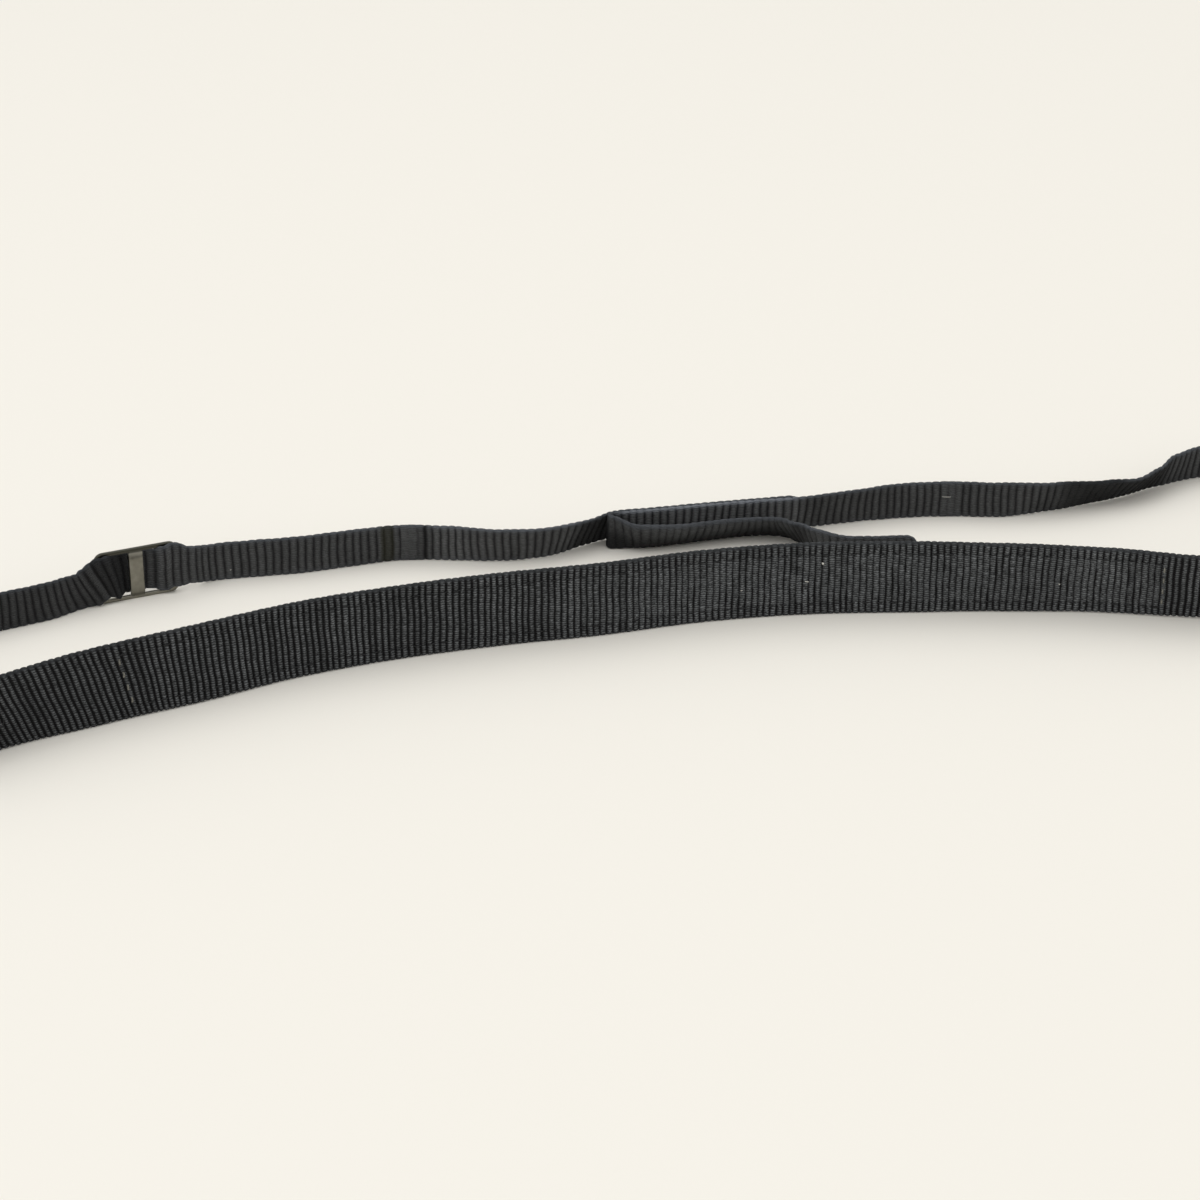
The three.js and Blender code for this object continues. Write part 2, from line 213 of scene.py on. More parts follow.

# Marks on the tails, as lengths along the route: from, to and how strong. The worn and stained
# stretches are real wear and dirt; the other tables are painted shade in a crease, beside the left
# slider and in the twist, and painted light on two stretches where shade falls.
WORN = ((101 * MM, 105.2 * MM, 1.0), (895.2 * MM, 899.4 * MM, 0.7))
STAINED = ((106.9 * MM, 110.3 * MM, 0.6),)
# Painted shade: a dark crease in the left tail, and the stretch beside the left slider.
PAINTED_SHADE_BANDS = ((98.4 * MM, 99.2 * MM, 0.9), (174 * MM, 182 * MM, 0.85), (182 * MM, 230 * MM, 0.5))
# Painted shade in the twist, whose gaps are also more closed.
TWISTED = ((850 * MM, 869 * MM, 0.9),)
# Painted light, lightening two stretches where shade falls on them.
PAINTED_LIGHT_BANDS = ((60 * MM, 97 * MM, 0.5), (938 * MM, 984 * MM, 1.35))
MARK_END = 0.4 * MM  # half the length over which a mark begins or ends
PAINTED_LIGHT_END = 2.5 * MM  # the same for a stretch of painted light
TWISTED_END = 4.5 * MM  # and for a twisted one
# The folded end's painted shade, lighter along its upper edge, and its belly: the lengths past the
# fold where each begins, is full, falls off and ends. The belly loses a share of its depth on the way.
FOLD_SHADE = (0, 2 * MM, 50 * MM, 58 * MM)
FOLD_BELLY = (3 * MM, 10 * MM, 45 * MM, 58 * MM)
BELLY_DEPTH = 1.1 * MM
BELLY_LOSS = 0.55
BELLY_FALL = (20 * MM, 45 * MM)
# The slanted crease in the folded end.
CREASE_AT = 57 * MM  # past the fold
CREASE_SLOPE = 0.25
CREASE_DEPTH = 0.2 * MM
CREASE_REACH = 0.4 * MM

# The stitches of each seam: their length, the thread's radius and how far they are lifted off the
# cloth, where less than 0 is sunk into it. The cross seams' thread is worn and fluffy.
ROW_STITCH = (1.9 * MM, 0.14 * MM, -0.14 * MM)
CROSS_STITCH = (1.5 * MM, 0.24 * MM, 0.02 * MM)
LAP_STITCH = (1.9 * MM, 0.14 * MM, -0.06 * MM)
LAP_END_STITCH = (1.6 * MM, 0.14 * MM, -0.06 * MM)
ROW_INWARD = 1.5 * MM  # from the cross seams to the rows' ends
CROSS_INWARD = 0.3 * MM  # from the span's ends to the cross seams' thread
BOX_REACH = 3.3 * MM  # above and below a lap's middle line
BOX_MARGIN = 2 * MM  # from a lap's ends to its seam
STITCH_RINGS = 7
STITCH_SIDES = 6

# Lint caught in the webs: the length along the route, the height from the web's middle line, the
# fibre's own length, half its thickness and its direction in degrees from the web's.
NECK_LINT = (
    (567.8 * MM, 4.3 * MM, 0.6 * MM, 0.26 * MM, 0),
    (564.0 * MM, -0.4 * MM, 1.0 * MM, 0.12 * MM, -12),
    (548.0 * MM, -1.7 * MM, 0.5 * MM, 0.1 * MM, 20),
    (624.9 * MM, -1.1 * MM, 0.4 * MM, 0.13 * MM, 0),
)
LEFT_LINT = ((148.0 * MM, -2.3 * MM, 0.35 * MM, 0.09 * MM, 0),)
RIGHT_LINT = ((898.1 * MM, 0.9 * MM, 2.4 * MM, 0.07 * MM, 2),)
LINT_LIFT = 0.06 * MM

CAMERA_RISE = math.radians(26)  # the angle of the view above the table
CAMERA_DISTANCE = 750 * MM
CAMERA_FOCAL_PIXELS = 3075
SENSOR = 36.0

# Soft square lights: name, place, side in metres and watts.
LIGHTS = (
    ("key", (-0.6, -0.5, 1.5), 1.0, 4.6),
    ("fill", (1.0, -0.6, 1.2), 1.0, 1),
    ("top", (0.1, 1.0, 1.8), 1.6, 4.6),
)
SKY_STRENGTH = 0.84
FLOOR_REACH = 6.0


def linear(colour):
    """sRGB hex to linear red, green, blue and full alpha."""
    parts = [int(colour[i : i + 2], 16) / 255 for i in (1, 3, 5)]
    return (*(c / 12.92 if c <= 0.04045 else ((c + 0.055) / 1.055) ** 2.4 for c in parts), 1.0)


def a_length(name, description, default):
    """A length in metres that a user can change."""
    return FloatProperty(name=name, description=description, default=default, unit="LENGTH")


def a_colour(name, description, default):
    """A colour, given as sRGB hex, that a user can change."""
    rgb = linear(default)[:3]
    return FloatVectorProperty(name=name, description=description, default=rgb, subtype="COLOR")


class StrapSizes(bpy.types.PropertyGroup):
    """Sizes and colours that a user would change"""

    neck_width: a_length("Neck web width", "Width of the wide web", 19 * MM)
    neck_thickness: a_length("Neck web thickness", "Over the ribs", 1.7 * MM)
    neck_rib: a_length("Neck web rib", "Pitch of the wide web's ribs", 1.55 * MM)
    backing_width: a_length("Backing width", "Width of the strip behind", 14.6 * MM)
    backing_thickness: a_length("Backing thickness", "Of the strip behind", 1.0 * MM)
    tail_width: a_length("Tail width", "Width of the narrow webs", 10 * MM)
    tail_thickness: a_length("Tail thickness", "Over the ribs", 1.3 * MM)
    tail_rib: a_length("Tail rib", "Pitch of the narrow webs' ribs", 2.0 * MM)
    slider_length: a_length("Slider length", "Along the tail", 21 * MM)
    slider_plate: a_length("Slider plate", "Thickness of the metal", 1.0 * MM)
    slider_rail: a_length("Slider rail", "Height of the long bars", 1.0 * MM)
    slider_end_bar: a_length("Slider end bar", "Width of the end bars", 2.2 * MM)
    slider_middle_bar: a_length("Slider middle bar", "Width of the middle bar", 3.6 * MM)
    stitch_pitch: a_length("Stitch pitch", "From one stitch to the next", 3.3 * MM)
    neck_colour: a_colour("Neck web colour", "Of a rib's crest", "#4f5153")
    tail_colour: a_colour("Tail colour", "Of a rib's crest", "#4a4b4c")
    metal_colour: a_colour("Metal colour", "Of the sliders", "#8b897f")


def smooth(x, low, high):
    """0 below low and 1 above high, with the cubic 3t*t - 2t*t*t between them."""
    t = np.clip((x - low) / (high - low), 0, 1)
    return t * t * (3 - 2 * t)


def hump(x, start, full, fall, end):
    """0 outside start and end, and 1 between full and fall."""
    return smooth(x, start, full) * (1 - smooth(x, fall, end))


def bell(x, reach):
    """1 where x is 0, falling off both ways as e to the minus square of x over reach."""
    return np.exp(-((x / reach) ** 2))


def centripetal(points):
    """A cubic between each two rows, whose end tangents weigh the neighbours by the root of the
    distance to them, sampled at even steps of its own parameter."""
    padded = np.vstack([2 * points[0] - points[1], points, 2 * points[-1] - points[-2]])
    p0, p1, p2, p3 = (padded[k : len(padded) - 3 + k] for k in range(4))
    d0, d1, d2 = (
        np.sqrt(np.linalg.norm(b - a, axis=1))[:, None] for a, b in ((p0, p1), (p1, p2), (p2, p3))
    )
    m1 = ((p1 - p0) / d0 - (p2 - p0) / (d0 + d1) + (p2 - p1) / d1) * d1
    m2 = ((p2 - p1) / d1 - (p3 - p1) / (d1 + d2) + (p3 - p2) / d2) * d1
    u = (np.arange(SAMPLES_PER_ROW) / SAMPLES_PER_ROW)[None, :, None]
    square = -3 * p1 + 3 * p2 - 2 * m1 - m2
    cube = 2 * p1 - 2 * p2 + m1 + m2
    a, b, c, d = (term[:, None, :] for term in (p1, m1, square, cube))
    curve = a + b * u + c * u**2 + d * u**3
    return np.vstack([curve.reshape(-1, 2), points[-1]])


def measured(rows):
    """The route through rows of x, y, lean and slant, with the length s and heading at each sample."""
    xy = centripetal(rows[:, :2])
    step = np.linalg.norm(np.diff(xy, axis=0), axis=1)
    ahead = np.vstack([xy[1:], xy[-1:]]) - np.vstack([xy[:1], xy[:-1]])
    count = len(xy) - 1
    row = np.minimum(np.arange(count + 1) // SAMPLES_PER_ROW, len(rows) - 2)
    share = smooth(np.arange(count + 1) / SAMPLES_PER_ROW - row, 0, 1)
    eased = {
        name: rows[row, k] * (1 - share) + rows[row + 1, k] * share
        for name, k in (("lean", 2), ("slant", 3))
    }
    return {
        "s": np.concatenate([[0], np.cumsum(step)]),
        "x": xy[:, 0],
        "y": xy[:, 1],
        "heading": np.unwrap(np.arctan2(ahead[:, 1], ahead[:, 0])),
        **eased,
    }


def at(line, s):
    """Every value of a measured route at the lengths s."""
    return {name: np.interp(s, line["s"], line[name]) for name in line if name != "s"}


def whole_route(sizes):
    """The main rows, the fold as half a circle, and the folded end set off from the tail."""
    main = ROUTE[:, :4].copy()
    main[:, 0] *= LAY_WIDTH
    main[:, 1] *= LAY_DEPTH
    last, before = main[-1], main[-2]
    heading = math.atan2(last[1] - before[1], last[0] - before[0])
    pitch = sizes.tail_thickness + FOLD_GAP
    centre = last[:2] + np.array([-math.sin(heading), math.cos(heading)]) * pitch / 2
    turn = np.pi * np.arange(1, FOLD_ROWS + 1) / FOLD_ROWS
    fold = np.column_stack([
        centre[0] + np.sin(heading + turn) * pitch / 2,
        centre[1] - np.cos(heading + turn) * pitch / 2,
        FOLD_LEAN * np.cos(turn),
        math.tan(math.radians(FOLD_LEAN)) * np.sin(turn),
    ])
    tail = measured(main)
    back = at(tail, tail["s"][-1] - FOLDED[:, 0] * FOLDED_END)
    away = pitch + FOLDED[:, 1] * END_SWING
    end = np.column_stack([back["x"], back["y"] - away, FOLDED[:, 2], 0 * away])
    return measured(np.vstack([main, fold, end]))


class Lay:
    """Where everything is along the route, worked out once from the sizes."""

    def __init__(self, sizes):
        self.sizes = sizes
        self.line = whole_route(sizes)
        self.total = self.line["s"][-1]
        self.neck_at = NECK_MIDDLE * self.total
        half = SEAM_SPAN / 2 + NECK_PAST_SEAM
        self.neck_from = self.neck_at - half
        self.neck_to = self.neck_at + half
        self.seams = (self.neck_at - SEAM_SPAN / 2, self.neck_at + SEAM_SPAN / 2)
        self.fold_at = self.line["s"][(len(ROUTE) - 1) * SAMPLES_PER_ROW]
        rows = np.flatnonzero(ROUTE[:, 4])
        self.sliders = self.line["s"][rows * SAMPLES_PER_ROW]
        self.slot_height = sizes.tail_width + SLOT_PLAY
        self.slider_height = self.slot_height + 2 * sizes.slider_rail
        bars = 2 * sizes.slider_end_bar + sizes.slider_middle_bar
        self.slot_length = (sizes.slider_length - bars) / 2
        low, high = (np.array(corner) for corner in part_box("left_slider"))
        place = ROUTE[rows[0], :2] * (LAY_WIDTH, LAY_DEPTH)
        self.shift = np.array([*((low + high)[:2] / 2 - place), 0.0])

    def from_slider(self, s):
        """The distance along the route to the nearer slider's middle."""
        return np.min(np.abs(np.asarray(s)[..., None] - self.sliders), axis=-1)

    def tail_offset(self, s):
        """How far a tail stands off the route towards the inside of the loop."""
        sizes = self.sizes
        lap = (sizes.neck_thickness + sizes.tail_thickness) / 2 + PIECE_GAP
        inside = np.minimum(s - self.neck_from, self.neck_to - s)
        weave = (sizes.slider_plate + sizes.tail_thickness) / 2 + PIECE_GAP
        d = self.from_slider(s)
        slot = sizes.slider_middle_bar / 2
        lead = self.slot_length * WEAVE_FROM
        over = smooth(d, slot + lead, slot + self.slot_length - lead)
        out = smooth(d, sizes.slider_length / 2, sizes.slider_length / 2 + SLIDER_LEAD)
        return lap * smooth(inside, -LAP_EASE, -LAP_EASE / 4) + weave * (2 * over - 1) * (1 - out)

    def tail_lift(self, s):
        """How far a tail's lower edge is above the table, at the laps and at the sliders."""
        sizes = self.sizes
        to_lap = np.maximum(np.maximum(self.neck_from - s, s - self.neck_to), 0)
        lap = (sizes.neck_width - sizes.tail_width) / 2 * (1 - smooth(to_lap, 0, DROP_RUN))
        slot_end = sizes.slider_middle_bar / 2 + self.slot_length
        d = self.from_slider(s)
        inner = (s > self.sliders[0]) & (s < self.sliders[1])
        near = 1 - smooth(d, slot_end, slot_end + np.where(inner, SLIDER_DROP, SLIDER_LIFT))
        ride = SLIDER_RIDE * smooth(d, slot_end - 1.5 * MM, slot_end + 0.5 * MM)
        return np.maximum(lap, (sizes.slider_rail + SLOT_PLAY - PIECE_GAP + ride) * near)

    def place(self, web, s, v, n):
        """Points at length s, height v from the web's middle line and depth n out of its middle
        plane: the route's point, raised so that the lower edge rests, plus v along the leaning
        width and n along the leaning normal."""
        p = at(self.line, s)
        lean = np.radians(p["lean"])
        zero = np.zeros_like(lean)
        along = np.stack([np.cos(p["heading"]), np.sin(p["heading"]), zero], -1)
        left = np.stack([-along[..., 1], along[..., 0], zero], -1)
        up = left * np.sin(lean)[..., None] + np.stack([zero, zero, np.cos(lean)], -1)
        out = left * np.cos(lean)[..., None] - np.stack([zero, zero, np.sin(lean)], -1)
        rise = web["width"] / 2 * np.cos(lean) + web["thickness"] / 2 * np.abs(np.sin(lean))
        rise = rise + web["lift"](s)
        middle = np.stack([p["x"], p["y"], rise], -1) + left * web["offset"](s)[..., None]
        points = middle + up * v[..., None] + out * n[..., None]
        points = points + along * (p["slant"] * v)[..., None]
        return points + self.shift, along, up, out


def section(web):
    """A flat section with half-round edges: v and n of each point and the outward direction there.
    The faces are straight lines at plus and minus half the thickness, and each edge is half an
    ellipse of the corner's length and the web's thickness."""
    width, thickness, corner = web["width"], web["thickness"], web["corner"]
    half = width / 2 - corner
    face = np.asarray(web["columns"]) * half
    angle = np.linspace(np.pi / 2, -np.pi / 2, web["corner_steps"] + 2)[1:-1]
    edge = half + corner * np.cos(angle)
    v = np.concatenate([face, edge, face[::-1], -edge])
    flat = np.ones(len(face))
    n = np.concatenate([flat, np.sin(angle), -flat, np.sin(-angle)]) * thickness / 2
    face_dir = np.zeros((len(face), 2)) + (0, 1)
    edge_dir = np.stack([np.cos(angle), np.sin(angle)], -1)
    toward = np.concatenate([face_dir, edge_dir, -face_dir, -edge_dir])
    return v, n, toward


def rib_marks(start, stop, pitch, steps, seed):
    """Lengths of the sections along ribs of slightly uneven width, the height of the rib at each,
    which is half a sine wave with a fuller top, 0 in the gap and 1 on the crest, and each rib's
    number."""
    random = np.random.default_rng(seed)
    count = int(round((stop - start) / pitch))
    uneven = 1 + random.normal(0, RIB_UNEVEN, count)
    edges = start + np.concatenate([[0], np.cumsum(uneven)]) * (stop - start) / uneven.sum()
    share = np.arange(steps) / steps
    s = (edges[:-1, None] + share * np.diff(edges)[:, None]).ravel()
    tall = 1 + random.normal(0, CREST_UNEVEN, count)
    crest = (np.sin(np.pi * share) ** 0.7 * tall[:, None]).ravel()
    rib = np.repeat(np.arange(count), steps)
    return np.append(s, stop), np.append(crest, 0), np.append(rib, count)


def grid_faces(rings, sides):
    """Quads between neighbouring rings of a closed sweep, and a cap at each end."""
    i, k = np.meshgrid(np.arange(rings - 1), np.arange(sides), indexing="ij")
    a = i * sides + k
    b = i * sides + (k + 1) % sides
    quads = np.stack([a, b, b + sides, a + sides], -1).reshape(-1, 4)
    last = (rings - 1) * sides
    caps = [list(range(sides))[::-1], list(range(last, last + sides))]
    return quads.tolist() + caps


def new_piece(name, points, faces, material, slot_name, *nodes, uv=None, values=None):
    """A smooth mesh object that rides on the strap and replaces the solids named."""
    mesh = bpy.data.meshes.new(name)
    mesh.from_pydata(points.reshape(-1, 3).tolist(), [], faces)
    mesh.validate()
    if uv is not None:
        corners = np.empty(len(mesh.loops), dtype=np.int32)
        mesh.loops.foreach_get("vertex_index", corners)
        mesh.uv_layers.new(name="web").data.foreach_set("uv", uv.reshape(-1, 2)[corners].ravel())
    for key, value in (values or {}).items():
        mesh.attributes.new(key, "FLOAT", "POINT").data.foreach_set("value", value.ravel())
    mesh.shade_smooth()
    mesh.materials.append(material)
    mesh.update()
    piece = bpy.data.objects.new(name, mesh)
    bpy.context.scene.collection.objects.link(piece)
    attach(piece, "root")
    if nodes:
        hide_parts(*nodes)
    return piece


def closed_gaps(web, crest, rib, S, V, seed):
    """The ribs' height once some of the gaps are closed: each gap has its own random run of open
    and closed stretches across the web, and the web says how closed its gaps are at each place."""
    random = np.random.default_rng(seed + GAP_SEED)
    drawn = random.random((int(rib[-1]) + 1, GAP_PLACES))
    knots = LEAST_CLOSED + (1 - LEAST_CLOSED) * drawn
    place = (V / web["width"] + 0.5) * (GAP_PLACES - 1)
    low = np.clip(place.astype(int), 0, GAP_PLACES - 2)
    row = rib.astype(int)[:, None]
    share = knots[row, low] * (1 - place + low) + knots[row, low + 1] * (place - low)
    closed = web["closed"](S, V) * smooth(share, 0.15, 0.75)
    return crest[:, None] + (1 - crest[:, None]) * closed


def tip_draw(web, S):
    """How much narrower the web is at a rounded tip: the corner's radius less the circle's height."""
    if "round" not in web:
        return 0 * S
    end = web["from"] if web["round"] == "start" else web["to"]
    inside = np.clip(TIP_ROUND - np.abs(S - end), 0, None)
    return (TIP_ROUND - np.sqrt(TIP_ROUND**2 - inside**2)) / (web["width"] / 2)


def wander(web, S, V):
    """How far the ribs stray along the web: the product of two slow waves, still at its ends."""
    slow = np.prod([np.sin(V / across + S / along) for across, along in STRAY_WAVES], axis=0)
    ease = smooth(np.minimum(S - web["from"], web["to"] - S), 0, 3 * web["rib"])
    return RIB_STRAY * web["rib"] * slow * ease


def make_web(lay, web, name, node, material, slot_name, seed):
    """A ribbed web: the section carried along the route, drawn in between the ribs by the rib's
    depth, along the sewn rows by a shallow groove and at a rounded tip by the corner's circle. Its
    edges swell and shrink by a sine over four ribs."""
    s, crest, rib = rib_marks(web["from"], web["to"], web["rib"], web["steps"], seed)
    v, n, toward = section(web)
    S, V = np.meshgrid(s, v, indexing="ij")
    facing = np.abs(toward[:, 1])
    rubbed = RUBBED * web["worn"](S) * (1 - crest[:, None])
    crest = closed_gaps(web, crest, rib, S, V, seed) + rubbed
    depth = web["edge_depth"] + (web["rib_depth"] - web["edge_depth"]) * facing**2
    sink = depth * (1 - crest) + web["groove"](S, V)
    swell = web["swell"] * np.sin(0.5 * np.pi * rib + 1.3)[:, None] * (1 - facing)
    height = (V - toward[:, 0] * (sink + swell)) * (1 - tip_draw(web, S)) * web["spread"](S, V)
    belly = web["bulge"](S) * (1 - (V / (web["width"] / 2)) ** 2)
    out = n - toward[:, 1] * sink - belly
    points, _, _, normal = lay.place(web, S + wander(web, S, V), height, out)
    # Painted shade: faces that look down at the table are darkened through the shade attribute.
    down = smooth(-np.sign(toward[:, 1]) * normal[..., 2], *SHADE_SLOPES) * facing
    values = {
        "crest": crest,
        "rib": np.broadcast_to(rib[:, None], S.shape),
        "edge": EDGE_COVER * smooth(np.abs(V), *(web["width"] / 2 - depth for depth in EDGE_YARN)),
        "stain": web["stain"](S),
        "shade": web["shade"](S, V, down),
    }
    values = {key: np.ascontiguousarray(value, dtype=np.float32) for key, value in values.items()}
    uv = np.stack([S, V], -1)
    faces = grid_faces(*S.shape)
    return new_piece(name, points, faces, material, slot_name, node, uv=uv, values=values)


def neck_columns(half):
    """Places across the neck web's faces as shares of half their width, closer together at the
    sewn rows."""
    seam = SEAM_ROW / half
    near = np.array([-0.06, -0.03, 0, 0.03, 0.06])
    side = np.concatenate([[0.12, 0.3, 0.45, 0.6], seam + near, [0.91, 1.0]])
    return np.concatenate([-side[::-1], side])


def nowhere(S, V=0.0):
    """No height or strength anywhere."""
    return 0 * S


def plain_web(start, stop, width, thickness, rib):
    """What every web has, with no marks, seams or bends of its own."""
    return {
        "from": start,
        "to": stop,
        "width": width,
        "thickness": thickness,
        "rib": rib,
        "offset": nowhere,
        "lift": nowhere,
        "groove": nowhere,
        "bulge": nowhere,
        "worn": nowhere,
        "stain": nowhere,
        # painted shade where a face looks down
        "shade": lambda S, V, down: down,
        "spread": lambda S, V: 1 + 0 * S,
    }


def neck_spec(lay):
    """The neck web: grooves along the sewn rows and the cross seams, gaps that wear has closed, a
    colour that grows lighter towards the right, and painted shade where a face looks down."""
    sizes = lay.sizes
    first, last = lay.seams

    def groove(S, V):
        """Bell curves at both rows and, between the rows, at both cross seams."""
        rows = bell(np.abs(V) - SEAM_ROW, ROW_REACH) * hump(S, first - MM, first, last, last + MM)
        inside = smooth(SEAM_ROW - np.abs(V), -0.3 * MM, 0.3 * MM)
        ends = sum(bell(S - seam, CROSS_REACH) for seam in lay.seams) * inside
        return SEAM_GROOVE * np.maximum(rows, ends)

    def closed(S, V):
        """Most closed in the worn stretch between the rows, and open again past the last seam."""
        outside = smooth(np.abs(V), SEAM_ROW - 0.5 * MM, SEAM_ROW + 0.5 * MM)
        past = smooth(S, last - 2 * MM, last + 2 * MM)
        worn = smooth(S, *FLATTENED)
        faded = CLOSED_FADED * smooth(S, *FADING) * (1 - worn)
        return CLOSED_ALL + (faded + CLOSED_WORN * worn * (1 - CLOSED_LESS * outside)) * (1 - past)

    def shade(S, V, down):
        """Darker towards the left end, in two steps, and painted shade where the face looks down."""
        before = 1 - smooth(S, first - 6 * MM, first + 20 * MM)
        return np.maximum(down, DARK_LEFT * (1 - smooth(S, *FADING)) + DARK_END * before)

    return plain_web(
        lay.neck_from, lay.neck_to, sizes.neck_width, sizes.neck_thickness, sizes.neck_rib
    ) | {
        "steps": 6,
        "columns": neck_columns(sizes.neck_width / 2 - NECK_CORNER),
        "corner": NECK_CORNER,
        "corner_steps": 5,
        "rib_depth": 0.45 * MM,
        "edge_depth": 0.14 * MM,
        "swell": 0.07 * MM,
        "groove": groove,
        "closed": closed,
        "shade": shade,
    }


def backing_spec(lay):
    """The strip sewn behind the neck web: finer and flatter, and as long as the seams' span."""
    sizes = lay.sizes
    offset = (sizes.neck_thickness + sizes.backing_thickness) / 2 + PIECE_GAP
    lift = (sizes.neck_width - sizes.backing_width) / 2
    return plain_web(
        lay.seams[0], lay.seams[1], sizes.backing_width, sizes.backing_thickness, BACKING_RIB
    ) | {
        "offset": lambda s: offset + 0 * s,
        "lift": lambda s: lift + 0 * s,
        "steps": 4,
        "columns": np.linspace(-1, 1, 15),
        "corner": 0.5 * MM,
        "corner_steps": 4,
        "rib_depth": 0.06 * MM,
        "edge_depth": 0.03 * MM,
        "swell": 0.02 * MM,
        "groove": lambda S, V: 0.2 * MM * bell(np.abs(V) - SEAM_ROW, 0.6 * MM),
        "closed": lambda S, V: 0.1 + 0 * S,
    }


def bands(S, table, soft=MARK_END):
    """The strength of the strongest band at each length, with soft ends."""
    return np.max([
        strength * hump(S, low - soft, low + soft, high - soft, high + soft)
        for low, high, strength in table
    ], axis=0)


def tail_spec(lay, side):
    """A tail, pressed wider where it rides over a slider's end bars. The folded end has a belly
    where it stands off the tail, and one slanted crease."""
    sizes = lay.sizes
    left = side == "left"
    fold = lay.fold_at
    slot_end = sizes.slider_middle_bar / 2 + lay.slot_length

    def spread(S, V):
        """Wider over an end bar, and back to 1 past it, sooner towards the neck web. The upper
        edge is no wider until it nears the slot's outer end."""
        above, below, far = SPREAD_PAST
        d = lay.from_slider(S)
        inner = (S > lay.sliders[0]) & (S < lay.sliders[1])
        past = np.where(inner, np.where(V > 0, above, below), far)
        near = 1 - smooth(d, slot_end + past, slot_end + past + SPREAD_RUN)
        ridden = smooth(d, *(slot_end - length for length in SPREAD_ABOVE))
        return 1 + SLIDER_SPREAD * near * np.where(V > 0, ridden, 1)

    def shade(S, V, down):
        """Painted shade along the folded end but for its upper edge, where a face looks down, in a
        crease, beside the left slider and in the twist, less painted light on two stretches.
        """
        folded = hump(S - fold, *FOLD_SHADE)
        dark = np.maximum(down, folded) * (1 - 0.9 * folded * smooth(V, -2 * MM, 4 * MM))
        marks = np.maximum(bands(S, PAINTED_SHADE_BANDS), bands(S, TWISTED, TWISTED_END))
        return np.maximum(dark, marks) - bands(S, PAINTED_LIGHT_BANDS, PAINTED_LIGHT_END)

    def closed(S, V):
        """More closed from the fold on and in the twist."""
        return 0.2 + 0.4 * smooth(S, fold, fold + 3 * MM) + 0.6 * bands(S, TWISTED, TWISTED_END)

    def bulge(S):
        """The belly's depth, which falls off in two stages."""
        past = S - fold
        return BELLY_DEPTH * hump(past, *FOLD_BELLY) * (1 - BELLY_LOSS * smooth(past, *BELLY_FALL))

    def slanted_crease(S, V):
        """A raised bell curve along a line that slants across the web."""
        return -CREASE_DEPTH * bell(S - fold - CREASE_AT - CREASE_SLOPE * V, CREASE_REACH)

    return plain_web(
        0.0 if left else lay.neck_to - LAP_LENGTH,
        lay.neck_from + LAP_LENGTH if left else lay.total,
        sizes.tail_width,
        sizes.tail_thickness,
        sizes.tail_rib,
    ) | {
        "offset": lay.tail_offset,
        "lift": lay.tail_lift,
        "steps": 8,
        "columns": np.linspace(-1, 1, 9),
        "corner": 0.65 * MM,
        "corner_steps": 5,
        "rib_depth": 0.38 * MM,
        "edge_depth": 0.13 * MM,
        "swell": 0.07 * MM,
        "round": "start" if left else "end",
        "closed": closed,
        "spread": spread,
        "worn": lambda S: bands(S, WORN),
        "stain": lambda S: bands(S, STAINED),
        "shade": shade,
        "bulge": nowhere if left else bulge,
        "groove": nowhere if left else slanted_crease,
    }


def add_node(tree, kind, inputs=None, stops=(), out=0, **settings):
    """Adds a node and returns one of its outputs. settings are the node's own attributes, inputs
    gives each socket a value or the output that it is linked from, and stops are the places and
    colours of a colour ramp."""
    node = tree.nodes.new(kind)
    for key, value in settings.items():
        setattr(node, key, value)
    for key, value in (inputs or {}).items():
        if isinstance(value, bpy.types.NodeSocket):
            tree.links.new(value, node.inputs[key])
        else:
            node.inputs[key].default_value = value
    if stops:
        elements = node.color_ramp.elements
        while len(elements) < len(stops):
            elements.new(0.5)
        for element, (place, colour) in zip(elements, stops):
            element.position = place
            element.color = colour
    return node.outputs[out] if out is not None else node


def new_material(name):
    """An empty material and its node tree."""
    material = bpy.data.materials.new(name)
    material.use_nodes = True
    material.node_tree.nodes.clear()
    return material, material.node_tree


